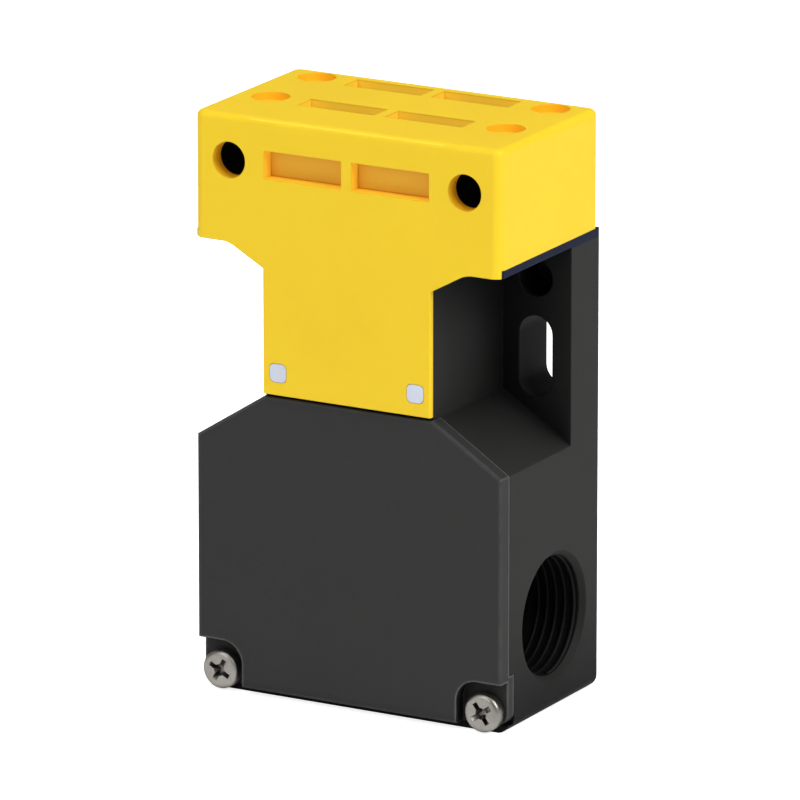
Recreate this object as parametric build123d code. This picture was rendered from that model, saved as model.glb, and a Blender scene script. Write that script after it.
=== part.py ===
from build123d import *
import math
import os

# Safety switch for a separate two-tine key: a moulded housing with a yellow head that holds two
# key wheels. A key turns the wheels, their cams let the plunger rise, and the plunger carries
# three contact bridges past the fixed contacts in the wiring chamber.
# Millimetres. X is right, Y is back, Z is up. Origin at the bottom centre of the whole switch.

# Overall sizes
width = 52.0
height = 90.0
body_depth = 30.0
head_proud = 0.5
fit_gap = 0.1

# Yellow head cover, its levels counted down from the top
head_wall = 2.5
stem_wall = 0.8
arm_drop = 19.5
side_panel_drop = 18.3
stem_half = 14.3
stem_foot_gap = 0.5
gusset_run = 5.9
gusset_rise = 3.3
gusset_radius = 4.5
head_corner_radius = 1.5
head_edge_radius = 1.0
stem_edge_radius = 0.3
dimple_radius = 2.9
dimple_depth = 1.2
dimple_front_y = 12.5
dimple_rear_y = 26.3

# Mounting holes, spaced about the middle line
mount_half_spacing = 20.0
mount_hole_radius = 2.8
head_hole_drop = 7.0
slot_centre_z = 53.0
slot_length = 12.5
locating_hole_drop = 25.0
locating_hole_depth = 6.0

# Key slots and key wheels
slot_rib = 1.7
key_slot_length = 13.15
key_slot_height = 4.3
key_offset = 7.0
wheel_depth = 19.0
wheel_drop = 14.0
wheel_radius = 9.0
wheel_bore_radius = 2.05
wheel_inner_x = 1.1
cam_length = 3.2
disc_length = 3.7
groove_length = 0.8
groove_radius = 6.2
notch_width = 3.4
notch_floor_radius = 5.2
notch_angle = 45.0
cam_high = 8.0
cam_low = 5.0
cam_turn = 60.0
cam_dwell = 16.0
cam_ramp = 16.0
axle_radius = 2.0
axle_seat_length = 1.4
axle_chamfer = 0.4
cell_floor_drop = 9.5
chamber_gap = 0.3
seal_face_depth = 2.0
seal_length = 5.0

# Plunger, its wiper ring and spring
crosshead_half = 3.9
crosshead_depth = 2.8
crosshead_height = 2.6
nose_radius = 0.8
cam_clearance = 0.22
rod_radius = 2.5
rod_fit = 0.05
spring_well_radius = 4.6
spring_well_length = 8.5
wiper_height = 2.0
wiper_groove = 0.5
wiper_lip = 0.5
spring_coil_radius = 3.55
spring_wire_radius = 0.35
spring_turns = 3.5
spring_wire_sides = 8
spring_collar_height = 1.0
spigot_radius = 1.4
spigot_length = 1.2

# Base housing and wiring chamber
wall = 2.5
back_wall = 3.0
chamber_floor_z = 4.4
shoulder_z = 47.4
chamfer_low_z = 39.9
corner_radius = 2.0
plate_thickness = 8.55
lip_height = 1.2
carrier_headroom = 0.6

# Cable entries
entry_radius = 9.2
entry_chamfer = 0.8
entry_depth = 17.0
entry_z = 14.7
entry_length = 10.2
entry_boss_wall = 2.0
floor_boss_radius = 11.8
floor_boss_top = 8.5

# Lid, its screws and its gasket
lid_thickness = 2.5
lid_bottom_z = 1.2
lid_edge_radius = 0.35
pocket_width = 7.6
pocket_height = 8.2
pocket_radius = 3.4
pocket_depth = 2.2
ear_thickness = 1.8
ear_margin = 0.8
skirt_thickness = 1.2
skirt_depth = 1.6
skirt_root = 0.5
lid_screw_inset = 3.5
lid_screw_z = 3.3
lid_screw_head_radius = 3.0
lid_screw_head_height = 2.0
lid_screw_radius = 1.75
lid_screw_length = 9.0
lid_screw_turn = 35.0
screw_tip_room = 0.5
screw_rim_chamfer = 0.35
screw_tip_chamfer = 0.45
recess_share = 0.66
recess_arm_share = 0.25
recess_depth_share = 0.6
recess_taper = 12.0
gasket_offset = 0.3
gasket_width = 1.0
gasket_height = 0.9

# Contact block
row_bottom_z = 29.2
row_pitch = 5.9
block_side_gap = 0.4
block_front = 12.25
block_bottom_z = 23.2
block_top_z = 42.6
block_chamfer = 1.0
channel_half = 8.0
channel_margin = 0.8
carrier_half = 3.0
carrier_half_depth = 2.4
carrier_floor = 1.0
carrier_roof = 1.6
bridge_half = 7.4
bridge_half_depth = 1.5
bridge_end_radius = 0.75
bridge_thickness = 0.6
rivet_radius = 1.1
rivet_height = 0.5
rivet_x = 6.3
open_gap = 3.2
closed_gap = 0.2
bridge_spring_height = 1.2
bridge_spring_radius = 1.25
bridge_spring_hole = 0.85
strip_thickness = 0.8
strip_bend_radius = 0.4
finger_tip_x = 5.2
terminal_inset = 3.1
terminal_half = 2.4
tab_drop = 4.2
terminal_screw_drop = 1.9
terminal_screw_radius = 1.45
terminal_head_radius = 2.2
terminal_head_height = 1.8
terminal_screw_length = 7.0
clamp_thickness = 0.8
clamp_half = 2.1
wire_gap = 0.9
ear_hole_inset = 3.4
ear_hole_z = 20.7
ear_half = 2.5
ear_corner_radius = 2.0
block_ear_thickness = 2.5
ear_post_length = 3.4
ear_screw_radius = 1.25
ear_screw_head_radius = 2.1
ear_screw_head_height = 1.6
ear_screw_bite = 1.4

# Head locking pins
pin_size = 2.8
pin_radius = 0.8
pin_inset = 2.6
pin_rise = 3.4
pin_length = 9.0
pin_chamfer = 0.4

# Planes worked out from the sizes above
depth = body_depth + head_proud
half_width = width / 2
face_y = -depth / 2
back_y = depth / 2
lid_y = face_y + head_proud
mouth_y = lid_y + lid_thickness
waist_y = face_y + stem_wall + fit_gap
head_front_y = face_y + head_wall + fit_gap
plate_y = back_y - plate_thickness
inner_back_y = back_y - back_wall
arm_bottom_z = height - arm_drop
side_panel_z = height - side_panel_drop
lip_bottom_z = side_panel_z - lip_height
head_hole_z = height - head_hole_drop
locating_hole_z = height - locating_hole_drop
stem_bottom_z = shoulder_z + stem_foot_gap
pin_x = stem_half - pin_inset
pin_z = stem_bottom_z + pin_rise
lid_screw_x = half_width - lid_screw_inset
entry_inner_x = half_width - entry_length
entry_boss_top = entry_z + entry_radius + entry_boss_wall
block_half = entry_inner_x - block_side_gap
terminal_x = block_half - terminal_inset
ear_hole_x = block_half - ear_hole_inset
wheel_y = face_y + wheel_depth
wheel_z = height - wheel_drop
cell_floor_z = wheel_z - cell_floor_drop
spring_well_floor = cell_floor_z - spring_well_length
key_slot_z = wheel_z + key_offset
slot_centre_x = slot_rib / 2 + key_slot_length / 2
head_block_half = half_width - head_wall - fit_gap
head_block_top = height - head_wall - fit_gap
wheel_cell_front = wheel_y - wheel_radius - chamber_gap
wheel_cell_back = wheel_y + wheel_radius + chamber_gap
cell_half = slot_rib / 2 + key_slot_length + chamber_gap
disc_start = wheel_inner_x + cam_length
wheel_outer_x = disc_start + 2 * disc_length + groove_length
cell_low_half = wheel_outer_x + fit_gap
axle_end_x = cell_half + axle_seat_length
travel = cam_high - cam_low
crosshead_top = wheel_z - cam_high - cam_clearance
crosshead_bottom = crosshead_top - crosshead_height
entry_y = face_y + entry_depth
block_front_y = face_y + block_front
row_z = [row_bottom_z + i * row_pitch for i in range(3)]
nc_drop = 2 * rivet_height + open_gap + bridge_thickness
no_rise = strip_thickness + 2 * rivet_height + closed_gap
carrier_bottom = row_z[0] - nc_drop - bridge_spring_height - carrier_floor
carrier_top = row_z[2] + no_rise + bridge_thickness + bridge_spring_height + carrier_roof
carrier_pocket_top = carrier_top + travel + carrier_headroom


# Shape helpers
def block(x0, x1, y0, y1, z0, z1):
    """A box between two limits on each axis."""
    centre = Pos((x0 + x1) / 2, (y0 + y1) / 2, (z0 + z1) / 2)
    return centre * Box(x1 - x0, y1 - y0, z1 - z0)


def front_prism(outline, y0, y1):
    """A front-view outline (X right, Z up) extruded from depth y0 back to y1."""
    plane = Plane(origin=(0, y1, 0), x_dir=(1, 0, 0), z_dir=(0, -1, 0))
    return extrude(plane * outline, amount=y1 - y0)


def side_prism(outline, x0, x1):
    """A side-view outline (Y right, Z up) extruded from x0 to x1."""
    plane = Plane(origin=(x0, 0, 0), x_dir=(0, 1, 0), z_dir=(1, 0, 0))
    return extrude(plane * outline, amount=x1 - x0)


def rod_y(radius, x, z, y0, y1):
    """A round bar along Y."""
    return front_prism(Pos(x, z) * Circle(radius), y0, y1)


def rod_z(radius, x, y, z0, z1):
    """A round bar along Z."""
    return Pos(x, y, (z0 + z1) / 2) * Cylinder(radius, z1 - z0)


def rod_x(radius, y, z, x0, x1):
    """A round bar along X."""
    return side_prism(Pos(y, z) * Circle(radius), x0, x1)


def both_sides(shape):
    """The shape and its mirror image across the middle plane."""
    return shape + mirror(shape, about=Plane.YZ)


def group(*solids):
    """Separate solids kept side by side in one node."""
    return Compound(children=[piece for part in solids for piece in part.solids()])


# Outlines that several pieces share
def lower_outline(bottom_z=0.0):
    """Front view of the wiring housing: full width with both upper corners cut off."""
    points = [
        (-half_width, bottom_z),
        (half_width, bottom_z),
        (half_width, chamfer_low_z),
        (stem_half, shoulder_z),
        (-stem_half, shoulder_z),
        (-half_width, chamfer_low_z),
    ]
    face = make_face(Polyline(*points, close=True))
    corners = face.vertices().filter_by(lambda v: v.Y < bottom_z + 1)
    return fillet(corners, corner_radius)


def chamber_outline(grow=0.0):
    """Front view of the wiring chamber, between the threaded bosses and under the chamfers."""
    inner = offset(lower_outline(), amount=-wall, kind=Kind.INTERSECTION)
    boss_width = half_width - entry_inner_x
    boss = Pos(entry_inner_x + boss_width / 2, entry_boss_top / 2)
    inner -= boss * Rectangle(boss_width, entry_boss_top)
    inner -= Pos(-boss.position.X, boss.position.Y) * Rectangle(boss_width, entry_boss_top)
    inner -= Pos(0, chamber_floor_z / 2) * Rectangle(width, chamber_floor_z)
    if grow == 0:
        return inner
    return offset(inner, amount=grow, kind=Kind.INTERSECTION)


def stem_half_outline(top_z, foot_z):
    """Right half of the stem below the head's arm, with the sloped gusset."""
    points = [
        (0, foot_z),
        (stem_half, foot_z),
        (stem_half, arm_bottom_z - gusset_rise),
        (stem_half + gusset_run, arm_bottom_z),
        (stem_half + gusset_run, top_z),
        (0, top_z),
    ]
    return make_face(Polyline(*points, close=True))


def stem_outline(top_z, foot_z):
    """Both halves of the stem."""
    right = stem_half_outline(top_z, foot_z)
    return right + mirror(right, about=Plane.YZ)


def key_slot(height_margin=0.0):
    """One front key slot in front view, on the right of the rib."""
    size = Rectangle(key_slot_length - 2 * height_margin, key_slot_height - 2 * height_margin)
    return Pos(slot_centre_x, key_slot_z) * size


def mounting_slot():
    """One upright mounting slot in front view."""
    slot = SlotOverall(slot_length, 2 * mount_hole_radius)
    return Pos(mount_half_spacing, slot_centre_z) * Rot(0, 0, 90) * slot


# Yellow head cover
def head_column(low_z):
    """The head's outer shape with rounded upright corners, from low_z to the top."""
    outline = RectangleRounded(width, depth, head_corner_radius)
    return extrude(Pos(0, 0, low_z) * outline, amount=height - low_z)


def stem_plate():
    """Thin yellow front of the arms and the stem, over the black waist."""
    arms_top = side_panel_z + head_wall
    front = Pos(0, (arm_bottom_z + arms_top) / 2) * Rectangle(width, arms_top - arm_bottom_z)
    front += stem_outline(arm_bottom_z + gusset_rise, stem_bottom_z)
    inner_corners = front.vertices().filter_by(
        lambda v: abs(v.Y - arm_bottom_z) < 0.01
        and abs(abs(v.X) - stem_half - gusset_run) < 0.01
    )
    front = fillet(inner_corners, gusset_radius)
    plate = front_prism(front, face_y, face_y + stem_wall)
    stem_edges = plate.edges().filter_by(Axis.Z).filter_by(
        lambda e: abs(e.center().X) < stem_half + 0.01 and e.center().Y < face_y + 0.01
    )
    return fillet(stem_edges, stem_edge_radius) & head_column(stem_bottom_z)


def head_cover():
    cover = head_column(side_panel_z)
    cover = fillet(cover.faces().sort_by(Axis.Z)[-1].edges(), head_edge_radius)
    inner_half = half_width - head_wall
    inner_top = height - head_wall
    inner_front = face_y + head_wall
    cover -= block(-inner_half, inner_half, inner_front, back_y + 1, 0, inner_top)
    cover += stem_plate()
    hole = rod_y(mount_hole_radius, mount_half_spacing, head_hole_z, face_y - 1, head_front_y)
    cover -= both_sides(hole)
    cover -= both_sides(front_prism(key_slot(), face_y - 1, head_front_y))
    for slot_y in (wheel_y - key_offset, wheel_y + key_offset):
        top_slot = Pos(slot_centre_x, slot_y, height) * Box(
            key_slot_length, key_slot_height, 4 * head_wall
        )
        cover -= both_sides(top_slot)
    for dimple_y in (dimple_front_y, dimple_rear_y):
        dimple = rod_z(
            dimple_radius,
            mount_half_spacing,
            face_y + dimple_y,
            height - dimple_depth,
            height + 1,
        )
        cover -= both_sides(dimple)
    cover -= both_sides(locking_pin(fit_gap / 2, 1))
    keeper_y = axle_radius - fit_gap
    keeper = block(
        cell_half + fit_gap,
        axle_end_x,
        wheel_y - keeper_y,
        wheel_y + keeper_y,
        wheel_z + axle_radius + fit_gap,
        inner_top + 1,
    )
    return cover + both_sides(keeper)


def locking_pin(grow=0.0, extra_front=0.0):
    """Square pin that locks the stem of the head to the housing."""
    side = pin_size + 2 * grow
    shape = Pos(pin_x, pin_z) * RectangleRounded(side, side, pin_radius)
    return front_prism(shape, face_y - extra_front, face_y + pin_length + 2 * grow)


def head_pins():
    pin = locking_pin()
    tip = pin.faces().sort_by(Axis.Y)[-1]
    pin = chamfer(tip.edges(), pin_chamfer)
    return group(pin, mirror(pin, about=Plane.YZ))


def slot_seals():
    """Two amber plugs that close the front key slots."""
    start = face_y + seal_face_depth
    plug = front_prism(key_slot(fit_gap), start, start + seal_length)
    return group(plug, mirror(plug, about=Plane.YZ))


# Base housing
def base_housing():
    body = front_prism(lower_outline(), mouth_y, back_y)
    waist_top = (lip_bottom_z + side_panel_z) / 2
    body += front_prism(stem_outline(waist_top, shoulder_z - wall), mouth_y, back_y)
    body += front_prism(stem_outline(waist_top, shoulder_z + fit_gap), waist_y, mouth_y + wall)
    body += block(-half_width, half_width, plate_y, back_y, chamfer_low_z, side_panel_z)
    body += block(-half_width, half_width, waist_y, back_y, lip_bottom_z, side_panel_z)
    body += block(
        -head_block_half, head_block_half, head_front_y, back_y, lip_bottom_z, head_block_top
    )
    body -= front_prism(chamber_outline(), mouth_y - 1, inner_back_y)
    body += entry_floor_boss()
    body += both_sides(rod_y(ear_half, ear_hole_x, ear_hole_z, ear_post_y(), inner_back_y))
    body -= wheel_cell()
    body -= plunger_way()
    body -= lid_seats()
    body -= mounting_cuts()
    body -= entry_cuts()
    bite = rod_y(
        ear_screw_radius + fit_gap, ear_hole_x, ear_hole_z, ear_post_y() - 1, inner_back_y + 2
    )
    body -= both_sides(bite)
    return body


def wheel_cell():
    """Room for both wheels, open at the top, with a step that carries the axle."""
    cell = block(
        -cell_low_half, cell_low_half, wheel_cell_front, wheel_cell_back, cell_floor_z, height
    )
    cell += block(-cell_half, cell_half, wheel_cell_front, wheel_cell_back, wheel_z, height)
    seat_end = axle_end_x + fit_gap
    cell += rod_x(wheel_bore_radius, wheel_y, wheel_z, -seat_end, seat_end)
    cell += block(
        -seat_end,
        seat_end,
        wheel_y - wheel_bore_radius,
        wheel_y + wheel_bore_radius,
        wheel_z,
        height,
    )
    return cell + both_sides(front_prism(key_slot(), face_y, wheel_cell_front + chamber_gap))


def plunger_way():
    """Spring well, guide bore and the pocket above the contact carrier."""
    way = rod_z(spring_well_radius, 0, wheel_y, spring_well_floor, cell_floor_z + 1)
    way += rod_z(rod_radius + rod_fit, 0, wheel_y, shoulder_z, spring_well_floor + 1)
    pocket_half = bridge_half + channel_margin
    pocket_depth_half = carrier_half_depth + channel_margin
    way += block(
        -pocket_half,
        pocket_half,
        wheel_y - pocket_depth_half,
        wheel_y + pocket_depth_half,
        chamfer_low_z,
        carrier_pocket_top,
    )
    return way


def entry_floor_boss():
    """Raised ring round the bottom cable entry."""
    return rod_z(floor_boss_radius, 0, entry_y, chamber_floor_z / 2, floor_boss_top)


def entry_cuts():
    """Side and bottom cable entries with chamfered mouths."""
    mouth = entry_radius + entry_chamfer
    reach = half_width - entry_inner_x + 1
    side = rod_x(entry_radius, entry_y, entry_z, half_width - reach, half_width + 1)
    side += Pos(half_width - entry_chamfer / 2, entry_y, entry_z) * Rot(0, 90, 0) * Cone(
        entry_radius, mouth, entry_chamfer
    )
    bottom = rod_z(entry_radius, 0, entry_y, -1, floor_boss_top + 1)
    bottom += Pos(0, entry_y, entry_chamfer / 2) * Cone(mouth, entry_radius, entry_chamfer)
    return both_sides(side) + bottom


def mounting_cuts():
    """Head holes, upright slots, locating holes and locking-pin holes."""
    cuts = rod_y(mount_hole_radius, mount_half_spacing, head_hole_z, face_y, back_y + 1)
    cuts += front_prism(mounting_slot(), plate_y - 1, back_y + 1)
    cuts += rod_y(
        mount_hole_radius,
        mount_half_spacing,
        locating_hole_z,
        plate_y - 1,
        plate_y + locating_hole_depth,
    )
    cuts += locking_pin(fit_gap, 0)
    return both_sides(cuts)


def pocket_face(grow=0.0):
    """Corner pocket in front view: rounded at its inner corner, open to the side and below."""
    left = half_width - pocket_width - grow
    top = pocket_height + grow
    face = Pos((left + width) / 2, 0) * Rectangle(width - left, 2 * top)
    corner = face.vertices().sort_by(lambda v: v.X - v.Y)[0]
    return fillet(corner, pocket_radius)


def lid_ear(clearance=0.0):
    """Thin step of the lid under each screw head."""
    start = lid_y + pocket_depth
    end = start + ear_thickness + clearance
    ear = front_prism(pocket_face(ear_margin + clearance), start, end)
    return ear - block(0, width, start - 1, end + 1, -height, lid_bottom_z)


def lid_seats():
    """Recesses for the lid's ears, screw bores and the gasket groove."""
    ears = lid_ear(fit_gap)
    bore_end = lid_y + pocket_depth + lid_screw_length + screw_tip_room
    ears += rod_y(lid_screw_radius + fit_gap, lid_screw_x, lid_screw_z, mouth_y, bore_end)
    groove_outer = chamber_outline(gasket_offset + gasket_width + fit_gap)
    groove_inner = chamber_outline(gasket_offset - fit_gap)
    groove = front_prism(groove_outer, mouth_y - 1, mouth_y + gasket_height)
    groove -= front_prism(groove_inner, mouth_y - 2, mouth_y + gasket_height + 1)
    return both_sides(ears) + groove


# Lid and its fittings
def lid():
    plate = front_prism(lower_outline(lid_bottom_z), lid_y, mouth_y)
    plate = fillet(plate.faces().sort_by(Axis.Y)[0].edges(), lid_edge_radius)
    pocket = front_prism(pocket_face(), lid_y - 1, lid_y + pocket_depth)
    plate -= both_sides(pocket)
    ear = lid_ear() & front_prism(lower_outline(lid_bottom_z), lid_y, back_y)
    plate += both_sides(ear)
    skirt_end = mouth_y + skirt_depth
    skirt = front_prism(chamber_outline(-chamber_gap), mouth_y - skirt_root, skirt_end)
    skirt -= front_prism(
        chamber_outline(-chamber_gap - skirt_thickness), mouth_y - 1, skirt_end + 1
    )
    plate += skirt
    hole = rod_y(lid_screw_radius + fit_gap, lid_screw_x, lid_screw_z, lid_y, back_y)
    return plate - both_sides(hole)


def lid_gasket():
    outer = chamber_outline(gasket_offset + gasket_width)
    inner = chamber_outline(gasket_offset)
    ring = front_prism(outer, mouth_y, mouth_y + gasket_height - fit_gap)
    return ring - front_prism(inner, mouth_y - 1, mouth_y + gasket_height + 1)


def cross_recess(x, z, y, size, recess_depth, turn):
    """Cross recess that tapers towards its floor."""
    arm = size * recess_arm_share
    face = Pos(x, z) * Rot(0, 0, turn) * (Rectangle(size, arm) + Rectangle(arm, size))
    plane = Plane(origin=(0, y, 0), x_dir=(1, 0, 0), z_dir=(0, -1, 0))
    return extrude(plane * face, amount=-recess_depth, taper=recess_taper)


def headed_screw(x, z, seat_y, head_radius, head_height, shank_radius, length, turn=0.0):
    """Screw along Y whose head rests on the plane seat_y."""
    head = rod_y(head_radius, x, z, seat_y - head_height, seat_y)
    rim = head.faces().sort_by(Axis.Y)[0].edges()
    head = chamfer(rim, screw_rim_chamfer)
    shank = rod_y(shank_radius, x, z, seat_y - head_height / 2, seat_y + length)
    tip = shank.faces().sort_by(Axis.Y)[-1].edges()
    screw = head + chamfer(tip, screw_tip_chamfer)
    recess_size = 2 * head_radius * recess_share
    recess_depth = head_height * recess_depth_share
    return screw - cross_recess(x, z, seat_y - head_height, recess_size, recess_depth, turn)


def lid_screws():
    screw = headed_screw(
        lid_screw_x,
        lid_screw_z,
        lid_y + pocket_depth,
        lid_screw_head_radius,
        lid_screw_head_height,
        lid_screw_radius,
        lid_screw_length,
        lid_screw_turn,
    )
    return group(screw, mirror(screw, about=Plane.YZ))


# Key wheels, axle and plunger
def cam_point(angle, radius):
    """A point of the cam, its angle counted from straight down towards the front."""
    turn = math.radians(angle)
    return (wheel_y - radius * math.sin(turn), wheel_z - radius * math.cos(turn))


def cam_outline():
    """Even cam: its radius falls in proportion to the turn, both ways from the rest line."""
    steps = 7
    fall = [
        cam_point(cam_turn * i / (steps - 1), cam_high - travel * i / (steps - 1))
        for i in range(steps)
    ]
    dwell_end = cam_turn + cam_dwell
    ramp_end = dwell_end + cam_ramp
    front = Spline(*fall)
    front_dwell = ThreePointArc(
        cam_point(cam_turn, cam_low),
        cam_point(cam_turn + cam_dwell / 2, cam_low),
        cam_point(dwell_end, cam_low),
    )
    front_ramp = Line(cam_point(dwell_end, cam_low), cam_point(ramp_end, cam_high))
    crown = ThreePointArc(
        cam_point(ramp_end, cam_high), cam_point(180, cam_high), cam_point(-ramp_end, cam_high)
    )
    middle = Plane(origin=(wheel_y, 0, 0), x_dir=(0, 1, 0), z_dir=(1, 0, 0))
    rear = [mirror(edge, about=middle) for edge in (front_ramp, front_dwell, front)]
    return make_face([front, front_dwell, front_ramp, crown] + rear)


def lift_cam():
    """Right cam, beside the middle plane."""
    cam = side_prism(cam_outline(), wheel_inner_x, disc_start)
    return cam - rod_x(wheel_bore_radius, wheel_y, wheel_z, 0, half_width)


def cam_wheel():
    """Right wheel: two notched discs on a hub, fixed to the outside of the cam."""
    discs = rod_x(wheel_radius, wheel_y, wheel_z, disc_start, disc_start + disc_length)
    discs += rod_x(
        wheel_radius, wheel_y, wheel_z, wheel_outer_x - disc_length, wheel_outer_x
    )
    wheel = discs + rod_x(groove_radius, wheel_y, wheel_z, disc_start, wheel_outer_x)
    notch_height = 2 * (wheel_radius - notch_floor_radius)
    for angle in (-notch_angle, notch_angle):
        notch = Pos(0, wheel_radius) * Rectangle(notch_width, notch_height)
        turned = Pos(wheel_y, wheel_z) * Rot(0, 0, angle) * notch
        wheel -= side_prism(turned, 0, half_width)
    return wheel - rod_x(wheel_bore_radius, wheel_y, wheel_z, 0, half_width)


def cam_axle():
    pin = rod_x(axle_radius, wheel_y, wheel_z, -axle_end_x, axle_end_x)
    return chamfer(pin.edges().filter_by(GeomType.CIRCLE), axle_chamfer)


def plunger():
    """Rod with a crosshead whose rounded nose follows both cams."""
    half = crosshead_depth / 2
    nose = nose_radius
    low = crosshead_bottom
    shoulder = crosshead_top - half
    flank = nose * math.sin(math.radians(45))
    points = [
        (wheel_y + flank, crosshead_top - nose + flank),
        (wheel_y + half, shoulder - nose + 2 * flank),
        (wheel_y + half, low),
        (wheel_y - half, low),
        (wheel_y - half, shoulder - nose + 2 * flank),
        (wheel_y - flank, crosshead_top - nose + flank),
    ]
    top = ThreePointArc(points[-1], (wheel_y, crosshead_top), points[0])
    outline = make_face([Polyline(*points), top])
    head = side_prism(outline, -crosshead_half, crosshead_half)
    rod = rod_z(rod_radius, 0, wheel_y, carrier_top, crosshead_bottom + 1)
    spigot = rod_z(spigot_radius, 0, wheel_y, carrier_top - spigot_length, carrier_top)
    collar_radius = spring_coil_radius + spring_wire_radius
    collar_floor = crosshead_bottom - spring_collar_height
    collar = rod_z(collar_radius, 0, wheel_y, collar_floor, crosshead_bottom)
    return head + rod + spigot + collar


def plunger_seal():
    """Rubber wiper ring with two lips, at the foot of the spring well."""
    outer = spring_well_radius - fit_gap
    wiper_top = spring_well_floor + wiper_height
    ring = rod_z(outer - wiper_groove, 0, wheel_y, spring_well_floor, wiper_top)
    ring += rod_z(outer, 0, wheel_y, spring_well_floor, spring_well_floor + wiper_lip)
    ring += rod_z(outer, 0, wheel_y, wiper_top - wiper_lip, wiper_top)
    return ring - rod_z(rod_radius + rod_fit, 0, wheel_y, 0, height)


def return_spring():
    low = spring_well_floor + wiper_height + spring_wire_radius
    high = crosshead_bottom - spring_collar_height - spring_wire_radius
    rise = high - low
    path = Helix(pitch=rise / spring_turns, height=rise, radius=spring_coil_radius)
    start = Plane(origin=path @ 0, z_dir=path % 0)
    section = start * RegularPolygon(spring_wire_radius, spring_wire_sides)
    return Pos(0, wheel_y, low) * sweep(section, path=path)


# Contact block and contacts
def contact_block():
    body = block(-block_half, block_half, block_front_y, inner_back_y, block_bottom_z, block_top_z)
    body = chamfer(body.edges().filter_by(Axis.Y).group_by(Axis.Z)[-1], block_chamfer)
    channel_depth = carrier_half_depth + channel_margin
    body -= block(
        -channel_half,
        channel_half,
        wheel_y - channel_depth,
        wheel_y + channel_depth,
        0,
        height,
    )
    low = ear_hole_z - ear_half
    ear = block(
        ear_hole_x - ear_half,
        ear_hole_x + ear_half,
        ear_post_y() - block_ear_thickness,
        ear_post_y(),
        low,
        block_bottom_z + 1,
    )
    foot = ear.edges().filter_by(Axis.Y).group_by(Axis.Z)[0]
    body += both_sides(fillet(foot, ear_corner_radius))
    for z in row_z:
        body -= both_sides(strip_room(z))
        screw_z = z - terminal_screw_drop
        screw_end = clamp_seat_y() + terminal_screw_length + screw_tip_room
        screw_room = rod_y(
            terminal_screw_radius + fit_gap, terminal_x, screw_z, block_front_y - 1, screw_end
        )
        body -= both_sides(screw_room)
    hole = rod_y(ear_screw_radius + fit_gap, ear_hole_x, ear_hole_z, face_y, back_y)
    return body - both_sides(hole)


def ear_post_y():
    """Front plane of the posts that carry the contact block's ears."""
    return inner_back_y - ear_post_length


def clamp_seat_y():
    """Plane under the terminal screw heads."""
    return block_front_y - strip_thickness - wire_gap - clamp_thickness


def strip_room(z):
    """Room for one fixed contact strip in the block, with its clearance."""
    gap = fit_gap / 2
    low = z - gap
    high = z + strip_thickness + gap
    finger = block(
        channel_half - 1,
        terminal_x + terminal_half + gap,
        wheel_y - bridge_half_depth - gap,
        wheel_y + bridge_half_depth + gap,
        low,
        high,
    )
    return finger + block(
        terminal_x - terminal_half - gap,
        terminal_x + terminal_half + gap,
        block_front_y - 1,
        wheel_y,
        low,
        high,
    )


def fixed_contact(z, below):
    """Right-hand contact strip: finger, strip, bent screw tab and rivet."""
    finger = block(
        finger_tip_x,
        terminal_x + terminal_half,
        wheel_y - bridge_half_depth,
        wheel_y + bridge_half_depth,
        z,
        z + strip_thickness,
    )
    strip = block(
        terminal_x - terminal_half,
        terminal_x + terminal_half,
        block_front_y - strip_thickness,
        wheel_y,
        z,
        z + strip_thickness,
    )
    tab = block(
        terminal_x - terminal_half,
        terminal_x + terminal_half,
        block_front_y - strip_thickness,
        block_front_y,
        z - tab_drop,
        z + strip_thickness,
    )
    contact = finger + strip + tab
    bend = contact.edges().filter_by(Axis.X).sort_by(lambda e: e.center().Y - e.center().Z)[0]
    contact = fillet(bend, strip_bend_radius)
    screw_z = z - terminal_screw_drop
    contact -= rod_y(
        terminal_screw_radius + fit_gap, terminal_x, screw_z, face_y, block_front_y + 1
    )
    rivet_z = z - rivet_height if below else z + strip_thickness
    return contact + rod_z(rivet_radius, rivet_x, wheel_y, rivet_z, rivet_z + rivet_height)


def contact_bridge(bar_z, rivets_up):
    """Moving bridge with a rivet at each end."""
    bar = block(
        -bridge_half,
        bridge_half,
        wheel_y - bridge_half_depth,
        wheel_y + bridge_half_depth,
        bar_z,
        bar_z + bridge_thickness,
    )
    bar = fillet(bar.edges().filter_by(Axis.Z), bridge_end_radius)
    rivet_z = bar_z + bridge_thickness if rivets_up else bar_z - rivet_height
    rivet = rod_z(rivet_radius, rivet_x, wheel_y, rivet_z, rivet_z + rivet_height)
    return bar + both_sides(rivet)


def nc_bar_z(row):
    """Underside of a bridge that is open while no key is in."""
    return row_z[row] - nc_drop


def no_bar_z():
    """Underside of the bridge that is closed while no key is in."""
    return row_z[2] + no_rise


def bridge_spring(low_z):
    ring = rod_z(bridge_spring_radius, 0, wheel_y, low_z, low_z + bridge_spring_height)
    return ring - rod_z(bridge_spring_hole, 0, wheel_y, 0, height)


def spring_floors():
    """Foot of each contact pressure spring."""
    lower = [nc_bar_z(row) - bridge_spring_height for row in (0, 1)]
    return lower + [no_bar_z() + bridge_thickness]


def contact_carrier():
    """Slider with a window for each bridge and its spring."""
    body = block(
        -carrier_half,
        carrier_half,
        wheel_y - carrier_half_depth,
        wheel_y + carrier_half_depth,
        carrier_bottom,
        carrier_top,
    )
    window_depth = bridge_half_depth + fit_gap
    window_height = bridge_spring_height + bridge_thickness
    starts = [nc_bar_z(0) - bridge_spring_height, nc_bar_z(1) - bridge_spring_height, no_bar_z()]
    for low_z in starts:
        body -= block(
            -half_width,
            half_width,
            wheel_y - window_depth,
            wheel_y + window_depth,
            low_z,
            low_z + window_height,
        )
    hole = rod_z(
        spigot_radius + rod_fit, 0, wheel_y, carrier_top - spigot_length - rod_fit, carrier_top + 1
    )
    return body - hole


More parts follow.
